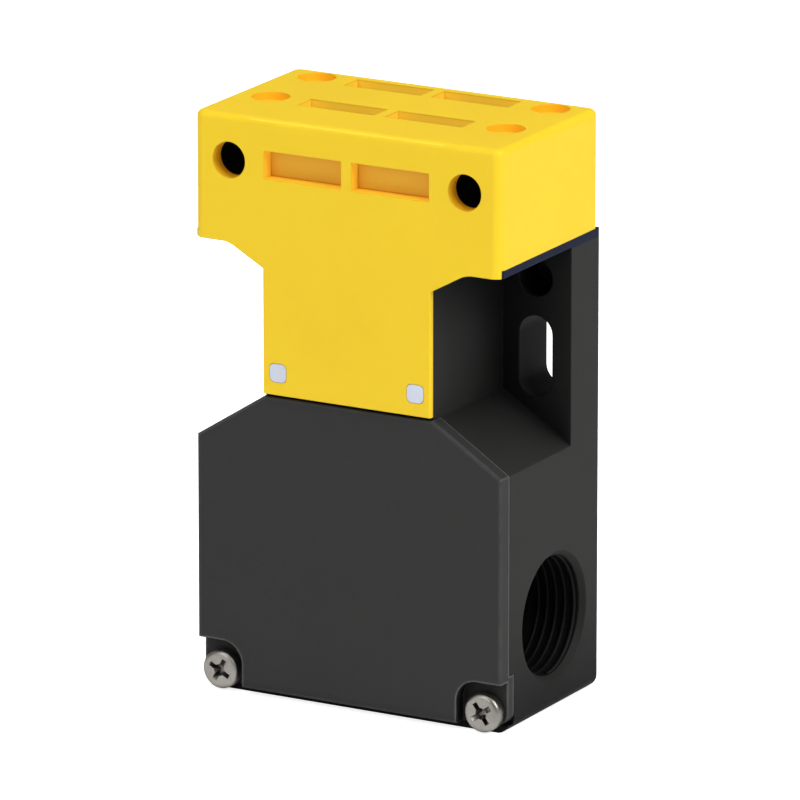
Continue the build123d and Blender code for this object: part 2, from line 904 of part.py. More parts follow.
def terminal_clamps():
    clamps = []
    for z in row_z:
        screw_z = z - terminal_screw_drop
        plate = block(
            terminal_x - clamp_half,
            terminal_x + clamp_half,
            clamp_seat_y(),
            clamp_seat_y() + clamp_thickness,
            screw_z - clamp_half,
            screw_z + clamp_half,
        )
        plate -= rod_y(terminal_screw_radius + fit_gap, terminal_x, screw_z, face_y, back_y)
        clamps += [plate, mirror(plate, about=Plane.YZ)]
    return group(*clamps)


def terminal_screws():
    screws = []
    for z in row_z:
        screw = headed_screw(
            terminal_x,
            z - terminal_screw_drop,
            clamp_seat_y(),
            terminal_head_radius,
            terminal_head_height,
            terminal_screw_radius,
            terminal_screw_length,
        )
        screws += [screw, mirror(screw, about=Plane.YZ)]
    return group(*screws)


def block_screws():
    screw = headed_screw(
        ear_hole_x,
        ear_hole_z,
        ear_post_y() - block_ear_thickness,
        ear_screw_head_radius,
        ear_screw_head_height,
        ear_screw_radius,
        block_ear_thickness + ear_post_length + ear_screw_bite,
    )
    return group(screw, mirror(screw, about=Plane.YZ))


# Write one file for each node
right_cam = lift_cam()
right_wheel = cam_wheel()
nodes = {
    "base_housing": base_housing(),
    "head_cover": head_cover(),
    "head_pins": head_pins(),
    "slot_seals": slot_seals(),
    "lid": lid(),
    "lid_screws": lid_screws(),
    "lid_gasket": lid_gasket(),
    "cam_wheel_right": right_wheel,
    "cam_wheel_left": mirror(right_wheel, about=Plane.YZ),
    "lift_cam_right": right_cam,
    "lift_cam_left": mirror(right_cam, about=Plane.YZ),
    "cam_axle": cam_axle(),
    "plunger": plunger(),
    "plunger_seal": plunger_seal(),
    "return_spring": return_spring(),
    "contact_block": contact_block(),
    "contact_carrier": contact_carrier(),
    "nc_bridge_lower": contact_bridge(nc_bar_z(0), True),
    "nc_bridge_upper": contact_bridge(nc_bar_z(1), True),
    "no_bridge": contact_bridge(no_bar_z(), False),
    "bridge_springs": group(*[bridge_spring(z) for z in spring_floors()]),
    "terminal_clamps": terminal_clamps(),
    "terminal_screws": terminal_screws(),
    "block_screws": block_screws(),
}
for index, z in enumerate(row_z):
    strip = fixed_contact(z, below=index < 2)
    nodes[f"fixed_contact_right_{index + 1}"] = strip
    nodes[f"fixed_contact_left_{index + 1}"] = mirror(strip, about=Plane.YZ)

os.makedirs("parts", exist_ok=True)
for name, shape in nodes.items():
    export_step(shape, f"parts/{name}.step")
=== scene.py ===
import math

import bmesh
import bpy
from mathutils import Matrix, Vector


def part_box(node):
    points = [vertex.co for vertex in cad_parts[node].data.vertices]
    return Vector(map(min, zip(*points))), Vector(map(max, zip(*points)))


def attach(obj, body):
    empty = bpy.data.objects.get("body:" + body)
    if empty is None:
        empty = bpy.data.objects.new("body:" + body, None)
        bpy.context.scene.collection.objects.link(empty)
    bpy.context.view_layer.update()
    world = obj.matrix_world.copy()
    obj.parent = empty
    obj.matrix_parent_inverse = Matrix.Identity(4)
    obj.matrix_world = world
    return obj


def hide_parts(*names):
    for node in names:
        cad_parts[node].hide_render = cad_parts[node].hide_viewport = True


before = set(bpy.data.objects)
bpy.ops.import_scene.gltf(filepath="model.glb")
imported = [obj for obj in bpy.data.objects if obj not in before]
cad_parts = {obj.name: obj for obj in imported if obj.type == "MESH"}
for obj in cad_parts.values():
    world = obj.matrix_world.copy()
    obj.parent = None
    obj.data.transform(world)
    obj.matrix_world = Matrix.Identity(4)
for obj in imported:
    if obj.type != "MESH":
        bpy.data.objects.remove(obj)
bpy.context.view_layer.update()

# Housing: one black glass-filled moulding with the wiring chamber, the waist, the full-width
# back plate and the block that carries the key wheels. Its outside has a fine spark-eroded
# grain, its corners are painted a little lighter as rubbing and highlight, and its deep notches
# are painted dark as shade.


def shade(red, green, blue):
    """A plastic's or metal's colour given as 0 to 255, as linear values."""
    def linear(value):
        value /= 255
        return value / 12.92 if value <= 0.04045 else ((value + 0.055) / 1.055) ** 2.4
    return (linear(red), linear(green), linear(blue), 1.0)


def skin_group(name, inputs, outputs):
    """An empty shader node group for a moulded or plated skin."""
    group = bpy.data.node_groups.new(name, "ShaderNodeTree")
    for label, kind, value in inputs:
        socket = group.interface.new_socket(label, in_out="INPUT", socket_type=kind)
        if value is not None:
            socket.default_value = value
    for label, kind in outputs:
        group.interface.new_socket(label, in_out="OUTPUT", socket_type=kind)
    return group, group.nodes.new("NodeGroupInput"), group.nodes.new("NodeGroupOutput")


def reckon(tree, operation, *values, clamp=False):
    """A Math node whose inputs are sockets or plain numbers."""
    node = tree.nodes.new("ShaderNodeMath")
    node.operation = operation
    node.use_clamp = clamp
    for socket, value in zip(node.inputs, values):
        if isinstance(value, (int, float)):
            socket.default_value = value
        else:
            tree.links.new(value, socket)
    return node.outputs[0]


def between(tree, value, low, high):
    """1 where the value lies between the two limits, 0 elsewhere."""
    above = reckon(tree, "GREATER_THAN", value, low)
    below = reckon(tree, "LESS_THAN", value, high)
    return reckon(tree, "MULTIPLY", above, below)


def grain(tree, vector, scale, detail=3.0, roughness=0.55):
    """Noise over the surface, its scale in waves per metre."""
    node = tree.nodes.new("ShaderNodeTexNoise")
    node.inputs["Detail"].default_value = detail
    node.inputs["Roughness"].default_value = roughness
    tree.links.new(vector, node.inputs["Vector"])
    if isinstance(scale, (int, float)):
        node.inputs["Scale"].default_value = scale
    else:
        tree.links.new(scale, node.inputs["Scale"])
    return node.outputs["Fac"]


def tint(tree, factor, first, second):
    """A colour mix whose inputs are sockets or plain colours."""
    node = tree.nodes.new("ShaderNodeMix")
    node.data_type = "RGBA"
    tree.links.new(factor, [s for s in node.inputs if s.name == "Factor"][0])
    for label, value in (("A", first), ("B", second)):
        socket = [s for s in node.inputs if s.name == label and s.type == "RGBA"][0]
        if isinstance(value, tuple):
            socket.default_value = value
        else:
            tree.links.new(value, socket)
    return [s for s in node.outputs if s.type == "RGBA"][0]


cloud_contrast = 2.2
cloud_shift = -0.6
cloud_share = 0.65
speck_share = 0.35
# Uneven patches in the painted shade of the hollows.
shade_patch_scale = 90.0
shade_patch_swing = 0.3
shade_patch_floor = 0.85


def build_moulded_grain():
    """Grain of a moulded or plated skin: tone drift, gloss drift and fine height."""
    group, given, result = skin_group(
        "moulded_grain",
        [
            ("Vector", "NodeSocketVector", None),
            ("Light Tone", "NodeSocketColor", (0.5, 0.5, 0.5, 1)),
            ("Dark Tone", "NodeSocketColor", (0.4, 0.4, 0.4, 1)),
            ("Grain Scale", "NodeSocketFloat", 3000.0),
            ("Cloud Scale", "NodeSocketFloat", 60.0),
            ("Gloss Low", "NodeSocketFloat", 0.4),
            ("Gloss Span", "NodeSocketFloat", 0.15),
        ],
        [
            ("Color", "NodeSocketColor"),
            ("Roughness", "NodeSocketFloat"),
            ("Height", "NodeSocketFloat"),
        ],
    )
    cloud = grain(group, given.outputs["Vector"], given.outputs["Cloud Scale"], 4.0)
    speck = grain(group, given.outputs["Vector"], given.outputs["Grain Scale"], 2.0, 0.6)
    spread = reckon(group, "MULTIPLY_ADD", cloud, cloud_contrast, cloud_shift, clamp=True)
    specks = reckon(group, "MULTIPLY", speck, speck_share)
    drift = reckon(group, "MULTIPLY_ADD", spread, cloud_share, specks)
    tone = tint(group, drift, given.outputs["Dark Tone"], given.outputs["Light Tone"])
    gloss = reckon(
        group, "MULTIPLY_ADD", drift, given.outputs["Gloss Span"], given.outputs["Gloss Low"]
    )
    group.links.new(tone, result.inputs["Color"])
    group.links.new(gloss, result.inputs["Roughness"])
    group.links.new(speck, result.inputs["Height"])
    return group


def build_edge_rub_and_highlight():
    """Mask of the outer edges for a painted highlight and some rubbing, broken up in patches,
    and their rounded normal.
    """
    group, given, result = skin_group(
        "edge_rub_and_highlight",
        [
            ("Vector", "NodeSocketVector", None),
            ("Reach", "NodeSocketFloat", 0.0005),
            ("Strength", "NodeSocketFloat", 4.0),
            ("Break Scale", "NodeSocketFloat", 400.0),
        ],
        [("Mask", "NodeSocketFloat"), ("Normal", "NodeSocketVector")],
    )
    bevel = group.nodes.new("ShaderNodeBevel")
    bevel.samples = 4
    group.links.new(given.outputs["Reach"], bevel.inputs["Radius"])
    geometry = group.nodes.new("ShaderNodeNewGeometry")
    dot = group.nodes.new("ShaderNodeVectorMath")
    dot.operation = "DOT_PRODUCT"
    group.links.new(bevel.outputs["Normal"], dot.inputs[0])
    group.links.new(geometry.outputs["Normal"], dot.inputs[1])
    bend = reckon(group, "SUBTRACT", 1.0, dot.outputs["Value"])
    strong = reckon(group, "MULTIPLY", bend, given.outputs["Strength"])
    patches = grain(group, given.outputs["Vector"], given.outputs["Break Scale"], 3.0)
    broken = reckon(group, "MULTIPLY", strong, patches, clamp=True)
    group.links.new(broken, result.inputs["Mask"])
    group.links.new(bevel.outputs["Normal"], result.inputs["Normal"])
    return group


def build_recess_shade_mask():
    """Mask of painted shade: the places that lie deep between walls, where little light comes
    in.
    """
    group, given, result = skin_group(
        "recess_shade_mask",
        [
            ("Vector", "NodeSocketVector", None),
            ("Reach", "NodeSocketFloat", 0.01),
            ("Strength", "NodeSocketFloat", 1.0),
        ],
        [("Mask", "NodeSocketFloat")],
    )
    near = group.nodes.new("ShaderNodeAmbientOcclusion")
    near.samples = 8
    group.links.new(given.outputs["Reach"], near.inputs["Distance"])
    closed = reckon(group, "SUBTRACT", 1.0, near.outputs["AO"])
    patches = grain(group, given.outputs["Vector"], shade_patch_scale, 2.0)
    uneven = reckon(group, "MULTIPLY_ADD", patches, shade_patch_swing, shade_patch_floor)
    deep = reckon(group, "MULTIPLY", closed, given.outputs["Strength"])
    mask = reckon(group, "MULTIPLY", deep, uneven, clamp=True)
    group.links.new(mask, result.inputs["Mask"])
    return group


moulded_grain = build_moulded_grain()
edge_rub_and_highlight = build_edge_rub_and_highlight()
recess_shade_mask = build_recess_shade_mask()


def lay(tree, group, vector, **values):
    """Lays a skin group in a material, with its own values."""
    node = tree.nodes.new("ShaderNodeGroup")
    node.node_tree = group
    tree.links.new(vector, node.inputs["Vector"])
    for label, value in values.items():
        node.inputs[label.replace("_", " ").title()].default_value = value
    return node


def place_and_axes(tree):
    """The place on the piece, whole and split into X, Y and Z."""
    place = tree.nodes.new("ShaderNodeTexCoord").outputs["Object"]
    split = tree.nodes.new("ShaderNodeSeparateXYZ")
    tree.links.new(place, split.inputs["Vector"])
    return place, split.outputs["X"], split.outputs["Y"], split.outputs["Z"]


def finish_skin(tree, shader, skin, edge, depth, strength):
    """Links a skin's gloss, and its fine height over the rounded edges, to the shader."""
    tree.links.new(skin.outputs["Roughness"], shader.inputs["Roughness"])
    bump = tree.nodes.new("ShaderNodeBump")
    bump.inputs["Distance"].default_value = depth
    bump.inputs["Strength"].default_value = strength
    tree.links.new(skin.outputs["Height"], bump.inputs["Height"])
    tree.links.new(edge.outputs["Normal"], bump.inputs["Normal"])
    tree.links.new(bump.outputs["Normal"], shader.inputs["Normal"])


plastic_bump = 0.6


def plastic(name, light, dark, rub_and_highlight, hollow_shade, grain_scale=4000, grain_depth=0.00002, gloss=0.4,
            span=0.15, round_over=0.0003, rub_and_highlight_strength=3.0, shade_reach=0.008,
            shade_strength=1.0, cloud_scale=60.0, specular=0.5):
    """A moulded plastic with grain, tone drift, edges painted lighter as rubbing and highlight,
    and painted shade in its hollows.
    """
    material = bpy.data.materials.new(name)
    material.use_nodes = True
    tree = material.node_tree
    shader = tree.nodes["Principled BSDF"]
    shader.inputs["Specular IOR Level"].default_value = specular
    place = tree.nodes.new("ShaderNodeTexCoord").outputs["Object"]
    skin = lay(tree, moulded_grain, place, light_tone=light, dark_tone=dark,
               grain_scale=grain_scale, cloud_scale=cloud_scale, gloss_low=gloss,
               gloss_span=span)
    edge = lay(tree, edge_rub_and_highlight, place, reach=round_over, strength=rub_and_highlight_strength)
    deep = lay(tree, recess_shade_mask, place, reach=shade_reach, strength=shade_strength)
    # Edges painted lighter: partly rubbing, partly painted highlight.
    tone = tint(tree, edge.outputs["Mask"], skin.outputs["Color"], rub_and_highlight)
    # Painted shade: the shade colour is laid where walls close in and little light comes.
    tone = tint(tree, deep.outputs["Mask"], tone, hollow_shade)
    tree.links.new(tone, shader.inputs["Base Color"])
    finish_skin(tree, shader, skin, edge, grain_depth, plastic_bump)
    return material


def dress(node, material):
    """Gives a CAD node its finish."""
    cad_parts[node].material_slots[0].material = material


housing_black = plastic("housing_black", shade(45, 45, 44), shade(37, 37, 36),
                        shade(66, 66, 64), shade(5, 5, 5), grain_scale=5200,
                        grain_depth=0.00003, gloss=0.54, span=0.16, shade_reach=0.022,
                        shade_strength=1.9, rub_and_highlight_strength=1.6, specular=0.16)
lip_low = 0.0703
lip_high = 0.0719
lip_patch_scale = 220.0
lip_patch_swing = 0.4
lip_patch_floor = 0.75
lip_sheen_navy = shade(6, 18, 46)


def add_lip_sheen(material):
    """Paints a navy sheen into the colour of the narrow lip under the head's side panel."""
    tree = material.node_tree
    shader = tree.nodes["Principled BSDF"]
    plain = shader.inputs["Base Color"].links[0].from_socket
    place, along_x, along_y, along_z = place_and_axes(tree)
    band = between(tree, along_z, lip_low, lip_high)
    patches = grain(tree, place, lip_patch_scale)
    uneven = reckon(tree, "MULTIPLY_ADD", patches, lip_patch_swing, lip_patch_floor)
    sheen = reckon(tree, "MULTIPLY", band, uneven, clamp=True)
    # Painted sheen: navy laid into the colour along the lip band.
    tone = tint(tree, sheen, plain, lip_sheen_navy)
    tree.links.new(tone, shader.inputs["Base Color"])


add_lip_sheen(housing_black)
dress("base_housing", housing_black)

# Entry threads: the cable entries on both sides and below are tapped M20 x 1.5 in the bosses
# of the housing. The crests are flattened by the moulding and stand in from the core.

entry_core = 0.0092
entry_y = 0.00175
entry_z = 0.0147
side_start = 0.0172
low_start = 0.0018
side_turns = 5.0
low_turns = 3.5
thread_pitch = 0.0015
thread_ridge_size = 0.0004
thread_lift = 0.00005
entry_ridge_steps = 64
ridge_sides = 3


def thread_tree():
    """A winding of a small ridge round an axis."""
    tree = bpy.data.node_groups.new("thread_ridge", "GeometryNodeTree")
    tree.interface.new_socket("Mesh", in_out="OUTPUT", socket_type="NodeSocketGeometry")
    for label, kind in (("Radius", "Float"), ("Turns", "Float"), ("Pitch", "Float"),
                        ("Ridge", "Float"), ("Steps", "Int"), ("Sides", "Int"),
                        ("Finish", "Material")):
        tree.interface.new_socket(label, in_out="INPUT", socket_type=f"NodeSocket{kind}")
    given = tree.nodes.new("NodeGroupInput")
    result = tree.nodes.new("NodeGroupOutput")
    winding = tree.nodes.new("GeometryNodeCurveSpiral")
    rise = tree.nodes.new("ShaderNodeMath")
    rise.operation = "MULTIPLY"
    section = tree.nodes.new("GeometryNodeCurvePrimitiveCircle")
    ridge = tree.nodes.new("GeometryNodeCurveToMesh")
    ridge.inputs["Fill Caps"].default_value = True
    real = tree.nodes.new("GeometryNodeRealizeInstances")
    finish = tree.nodes.new("GeometryNodeSetMaterial")
    link = tree.links.new
    link(given.outputs["Steps"], winding.inputs["Resolution"])
    link(given.outputs["Turns"], winding.inputs["Rotations"])
    link(given.outputs["Radius"], winding.inputs["Start Radius"])
    link(given.outputs["Radius"], winding.inputs["End Radius"])
    link(given.outputs["Turns"], rise.inputs[0])
    link(given.outputs["Pitch"], rise.inputs[1])
    link(rise.outputs[0], winding.inputs["Height"])
    link(given.outputs["Sides"], section.inputs["Resolution"])
    link(given.outputs["Ridge"], section.inputs["Radius"])
    link(winding.outputs["Curve"], ridge.inputs["Curve"])
    link(section.outputs["Curve"], ridge.inputs["Profile Curve"])
    link(ridge.outputs["Mesh"], real.inputs["Geometry"])
    link(real.outputs["Geometry"], finish.inputs["Geometry"])
    link(given.outputs["Finish"], finish.inputs["Material"])
    link(finish.outputs["Geometry"], result.inputs["Mesh"])
    return tree


thread_ridge = thread_tree()


def grow(name, tree, **values):
    """A plain mesh made by a Geometry Nodes tree with these values."""
    seed = bpy.data.objects.new(name, bpy.data.meshes.new(name))
    bpy.context.scene.collection.objects.link(seed)
    step = seed.modifiers.new("grow", "NODES")
    step.node_group = tree
    for item in tree.interface.items_tree:
        if item.item_type == "SOCKET" and item.in_out == "INPUT" and item.name in values:
            step[item.identifier] = values[item.name]
    grown = seed.evaluated_get(bpy.context.evaluated_depsgraph_get())
    mesh = bpy.data.meshes.new_from_object(grown)
    bpy.data.objects.remove(seed)
    return mesh


def piece_from(name, meshes_and_places, body):
    """One object at the origin from meshes, each moved to its places, riding on a body."""
    build = bmesh.new()
    finish = meshes_and_places[0][0].materials[0]
    for mesh, places in meshes_and_places:
        for place in places:
            moved = mesh.copy()
            moved.transform(place)
            build.from_mesh(moved)
            bpy.data.meshes.remove(moved)
    whole = bpy.data.meshes.new(name)
    build.to_mesh(whole)
    build.free()
    whole.materials.append(finish)
    for face in whole.polygons:
        face.material_index = 0
    piece = bpy.data.objects.new(name, whole)
    bpy.context.scene.collection.objects.link(piece)
    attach(piece, body)
    return piece


def entry_ridge(name, turns):
    """The thread of one cable entry, winding up from its inner end."""
    return grow(name, thread_ridge, Radius=entry_core + thread_lift, Turns=turns,
                Pitch=thread_pitch, Ridge=thread_ridge_size,
                Steps=entry_ridge_steps, Sides=ridge_sides, Finish=housing_black)


turn_right = Matrix.Rotation(math.radians(90), 4, "Y")
turn_left = Matrix.Rotation(math.radians(-90), 4, "Y")
piece_from("cable_entry_threads", [
    (entry_ridge("side_ridge", side_turns), [
        Matrix.Translation((side_start, entry_y, entry_z)) @ turn_right,
        Matrix.Translation((-side_start, entry_y, entry_z)) @ turn_left,
    ]),
    (entry_ridge("low_ridge", low_turns), [Matrix.Translation((0, entry_y, low_start))]),
], "housing")

# Contact block: a dark grey insulating moulding screwed to the back of the chamber. Six brass
# strips slide into it, each with a bent tab, a clamp and a cross-recess terminal screw.

block_grey = plastic("block_grey", shade(88, 92, 96), shade(74, 78, 82), shade(130, 134, 138),
                     shade(30, 32, 34), grain_scale=4200, gloss=0.38, span=0.14,
                     shade_reach=0.004)
dress("contact_block", block_grey)
metal_round_over = 0.00012
metal_rub_and_highlight_strength = 1.5
metal_shade_reach = 0.0012
metal_shade_strength = 0.9
metal_bump = 0.5
mark_depth = 0.000004
marks_per_cloud = 12


def metal(name, light, dark, hollow_shade, scale, gloss, span, stretch=(1, 1, 1)):
    """A bare or plated metal with fine marks along one direction, painted shade in its recesses
    and a painted highlight on its edges.
    """
    material = bpy.data.materials.new(name)
    material.use_nodes = True
    tree = material.node_tree
    shader = tree.nodes["Principled BSDF"]
    shader.inputs["Metallic"].default_value = 1.0
    place = tree.nodes.new("ShaderNodeTexCoord").outputs["Object"]
    drawn = tree.nodes.new("ShaderNodeMapping")
    drawn.inputs["Scale"].default_value = stretch
    tree.links.new(place, drawn.inputs["Vector"])
    skin = lay(tree, moulded_grain, drawn.outputs["Vector"], light_tone=light, dark_tone=dark,
               grain_scale=scale, cloud_scale=scale / marks_per_cloud, gloss_low=gloss,
               gloss_span=span)
    edge = lay(tree, edge_rub_and_highlight, place, reach=metal_round_over, strength=metal_rub_and_highlight_strength)
    deep = lay(tree, recess_shade_mask, place, reach=metal_shade_reach,
               strength=metal_shade_strength)
    # Painted shade: recesses take the darker shade colour.
    tone = tint(tree, deep.outputs["Mask"], skin.outputs["Color"], hollow_shade)
    # Painted highlight: the edges take the light tone.
    tone = tint(tree, edge.outputs["Mask"], tone, light)
    tree.links.new(tone, shader.inputs["Base Color"])
    finish_skin(tree, shader, skin, edge, mark_depth, metal_bump)
    return material


contact_brass = metal("contact_brass", shade(214, 178, 104), shade(182, 144, 78),
                      shade(90, 62, 28), 3000, 0.24, 0.16, stretch=(0.2, 1, 1))
zinc_plate = metal("zinc_plate", shade(186, 183, 177), shade(126, 122, 116),
                   shade(24, 23, 26), 2600, 0.26, 0.2, stretch=(1, 0.3, 1))
for side in ("left", "right"):
    for row in (1, 2, 3):
        dress(f"fixed_contact_{side}_{row}", contact_brass)
for node in ("nc_bridge_lower", "nc_bridge_upper", "no_bridge"):
    dress(node, contact_brass)
for node in ("terminal_clamps", "terminal_screws", "block_screws"):
    dress(node, zinc_plate)

# Plunger and carrier: white acetal slider parts, with a rubber wiper ring and a drawn steel
# return spring in the well above the guide bore.

acetal_white = plastic("acetal_white", shade(226, 224, 214), shade(208, 206, 196),
                       shade(240, 238, 230), shade(120, 118, 110), grain_scale=2600,
                       grain_depth=0.000008, gloss=0.3, span=0.12, shade_reach=0.003)
black_rubber = plastic("black_rubber", shade(36, 36, 36), shade(24, 24, 24), shade(60, 60, 60),
                       shade(8, 8, 8), grain_scale=3600, gloss=0.62, span=0.2,
                       shade_reach=0.003, specular=0.3)
spring_wire = metal("spring_wire", shade(188, 188, 190), shade(140, 140, 144),
                    shade(60, 60, 62), 3000, 0.2, 0.15)
dress("plunger", acetal_white)
dress("contact_carrier", acetal_white)
dress("plunger_seal", black_rubber)
dress("return_spring", spring_wire)
dress("bridge_springs", spring_wire)

# Key wheels: two ivory acetal wheels with a lift cam each, on a ground steel axle. The tines of
# the key engage their notches through the slots of the head.

wheel_ivory = plastic("wheel_ivory", shade(226, 208, 150), shade(204, 184, 126),
                      shade(240, 226, 180), shade(120, 98, 60), grain_scale=2600,
                      grain_depth=0.000008, gloss=0.32, span=0.12, shade_reach=0.003)
for side in ("left", "right"):
    dress(f"cam_wheel_{side}", wheel_ivory)
    dress(f"lift_cam_{side}", wheel_ivory)
dress("cam_axle", zinc_plate)

# Head cover: the yellow moulded shell with a satin skin. Its slots and sink marks take a
# painted warm orange shade instead of going grey, and its slot walls a painted amber glow.

head_yellow = plastic("head_yellow", shade(248, 211, 34), shade(240, 200, 28),
                      shade(255, 226, 84), shade(255, 164, 24), grain_scale=3400,
                      grain_depth=0.00001, gloss=0.46, span=0.14, cloud_scale=45.0,
                      shade_reach=0.006, shade_strength=0.8, rub_and_highlight_strength=1.2, specular=0.3)
slot_mouth_y = -0.01505
slot_back_y = 0.0134
slot_low_z = 0.079
slot_mouth_z = 0.0898
slot_end_x = 0.0165
slot_patch_scale = 260.0
slot_patch_swing = 0.3
slot_patch_floor = 0.7
slot_glow_amber = shade(254, 208, 58)
slot_light = shade(255, 200, 60)
slot_glow = 0.17


def add_slot_glow(material):
    """Painted glow: the walls of the slots are tinted amber and given a faint emission,
    standing in for light through the shell and from the plugs.
    """
    tree = material.node_tree
    shader = tree.nodes["Principled BSDF"]
    plain = shader.inputs["Base Color"].links[0].from_socket
    place, along_x, along_y, along_z = place_and_axes(tree)
    inward = between(tree, along_x, -slot_end_x, slot_end_x)
    behind = between(tree, along_y, slot_mouth_y, slot_back_y)
    level = between(tree, along_z, slot_low_z, slot_mouth_z)
    walls = reckon(tree, "MULTIPLY", reckon(tree, "MULTIPLY", inward, behind), level)
    patches = grain(tree, place, slot_patch_scale)
    uneven = reckon(tree, "MULTIPLY_ADD", patches, slot_patch_swing, slot_patch_floor)
    glow = reckon(tree, "MULTIPLY", walls, uneven, clamp=True)
    # Painted glow: amber tint and emission on the slot walls, though they are no lamp.
    tone = tint(tree, glow, plain, slot_glow_amber)
    tree.links.new(tone, shader.inputs["Base Color"])
    shader.inputs["Emission Color"].default_value = slot_light
    strength = reckon(tree, "MULTIPLY", glow, slot_glow)
    tree.links.new(strength, shader.inputs["Emission Strength"])


add_slot_glow(head_yellow)
dress("head_cover", head_yellow)

# Slot plugs: amber inserts of satin plastic that close the two front key slots. They lie about
# two millimetres deep and come out when the key is to enter from the front.

plug_amber = plastic("plug_amber", shade(228, 182, 52), shade(214, 166, 42),
                     shade(244, 190, 74), shade(222, 146, 30), grain_scale=3000,
                     grain_depth=0.00001, gloss=0.5, span=0.14, shade_reach=0.003,
                     shade_strength=0.6, specular=0.3)
dress("slot_seals", plug_amber)

# Locking pins: light grey square pins of hard plastic, driven flush into the foot of the stem,
# one on each side. They hold the head on the housing.

pin_grey = plastic("pin_grey", shade(214, 220, 236), shade(200, 206, 222), shade(228, 230, 240),
                   shade(150, 152, 166), grain_scale=3000, grain_depth=0.00001, gloss=0.4,
                   span=0.12, shade_reach=0.001)
dress("head_pins", pin_grey)

# Lid: a dark grey moulded plate with a skirt that enters the chamber, on a rubber ring. Its
# rim carries a painted highlight, and its lower corners have pockets for the screws.

lid_grey = plastic("lid_grey", shade(50, 50, 50), shade(44, 44, 44), shade(120, 120, 118),
                   shade(5, 5, 5), grain_scale=5200, grain_depth=0.00003, gloss=0.52,
                   span=0.14, round_over=0.0006, shade_reach=0.0028, shade_strength=1.3,
                   rub_and_highlight_strength=9.0, specular=0.2)
dress("lid", lid_grey)
dress("lid_gasket", black_rubber)

# Lid screws: two captive zinc-plated pan-head screws. Their cross recess is pressed, with
# wings that narrow towards the floor, and the thread is rolled on the shank.

screw_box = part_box("lid_screws")
head_front = screw_box[0][1]
head_radius = 0.003
head_height = 0.002
rim_round = 0.0007
rim_steps = 6
face_share = 0.4
recess_depth_z = 0.0014
recess_above = 0.0004
wing_reach_low = 0.0011
wing_reach_high = 0.0021
wing_half_low = 0.00028
wing_half_high = 0.00042
cone_tip = 0.0017
cone_low = 0.0005
cone_high = 0.00105
cone_steps = 24
shank_radius = 0.00158
shank_tip_length = 0.0006
shank_tip_share = 0.6
shank_steps = 32
screw_pitch = 0.0007
screw_turns = 9.0
screw_ridge = 0.00017
thread_offset = 0.0008
overlap = 0.0002
shank_end = screw_box[1][1]
screw_x = screw_box[1][0] - head_radius
screw_z = screw_box[0][2] + head_radius
turns_of_screws = {"right": 0.62, "left": -0.5}


def lathe(name, outline, steps=64):
    """A closed turned shape about Z from (radius, height) points on the axis at both ends."""
    build = bmesh.new()
    rings = []
    for radius, height in outline:
        if radius == 0:
            rings.append([build.verts.new((0, 0, height))])
            continue
        ring = []
        for k in range(steps):
            angle = 2 * math.pi * k / steps
            across, along = radius * math.cos(angle), radius * math.sin(angle)
            ring.append(build.verts.new((across, along, height)))
        rings.append(ring)
    for low, high in zip(rings, rings[1:]):
        for k in range(steps):
            quad = [low[k % len(low)], low[(k + 1) % len(low)],
                    high[(k + 1) % len(high)], high[k % len(high)]]
            corners = list(dict.fromkeys(quad))
            if len(corners) > 2:
                build.faces.new(corners)
    bmesh.ops.recalc_face_normals(build, faces=build.faces)
    mesh = bpy.data.meshes.new(name)
    build.to_mesh(mesh)
    build.free()
    return mesh


def recess_punch():
    """The punch of a cross recess: four tapered wings round a blunt cone."""
    build = bmesh.new()
    for turn in (0, 90):
        wing = bmesh.new()
        bmesh.ops.create_cube(wing, size=1)
        for vert in wing.verts:
            deep = vert.co.z < 0
            reach = wing_reach_low if deep else wing_reach_high
            half = wing_half_low if deep else wing_half_high
            vert.co = Vector((
                math.copysign(reach, vert.co.x),
                math.copysign(half, vert.co.y),
                -recess_depth_z if deep else recess_above,
            ))
        wing.transform(Matrix.Rotation(math.radians(turn), 4, "Z"))
        mesh = bpy.data.meshes.new("wing")
        wing.to_mesh(mesh)
        wing.free()
        build.from_mesh(mesh)
        bpy.data.meshes.remove(mesh)
    core = lathe("core", [
        (0, -cone_tip),
        (cone_low, -recess_depth_z),
        (cone_high, recess_above),
        (0, recess_above),
    ], cone_steps)
    build.from_mesh(core)
    mesh = bpy.data.meshes.new("recess_punch")
    build.to_mesh(mesh)
    build.free()
    punch = bpy.data.objects.new("recess_punch", mesh)
    bpy.context.scene.collection.objects.link(punch)
    return punch


def pan_head():
    """A pan head, its seat at 0 and its face at its height, with the recess pressed in."""
    outline = [(0, 0), (head_radius, 0), (head_radius, head_height - rim_round)]
    for k in range(1, rim_steps + 1):
        angle = math.radians(90 * k / rim_steps)
        outline.append((head_radius - rim_round * (1 - math.cos(angle)),
                        head_height - rim_round * (1 - math.sin(angle))))
    outline += [(head_radius * face_share, head_height), (0, head_height)]
    head = bpy.data.objects.new("pan_head", lathe("pan_head", outline))
    bpy.context.scene.collection.objects.link(head)
    punch = recess_punch()
    punch.location = (0, 0, head_height)
    press = head.modifiers.new("press", "BOOLEAN")
    press.object = punch
    press.operation = "DIFFERENCE"
    press.solver = "EXACT"
    press.use_self = True
    grown = head.evaluated_get(bpy.context.evaluated_depsgraph_get())
    mesh = bpy.data.meshes.new_from_object(grown)
    bpy.data.objects.remove(head)
    bpy.data.objects.remove(punch)
    mesh.materials.clear()
    mesh.materials.append(zinc_plate)
    return mesh


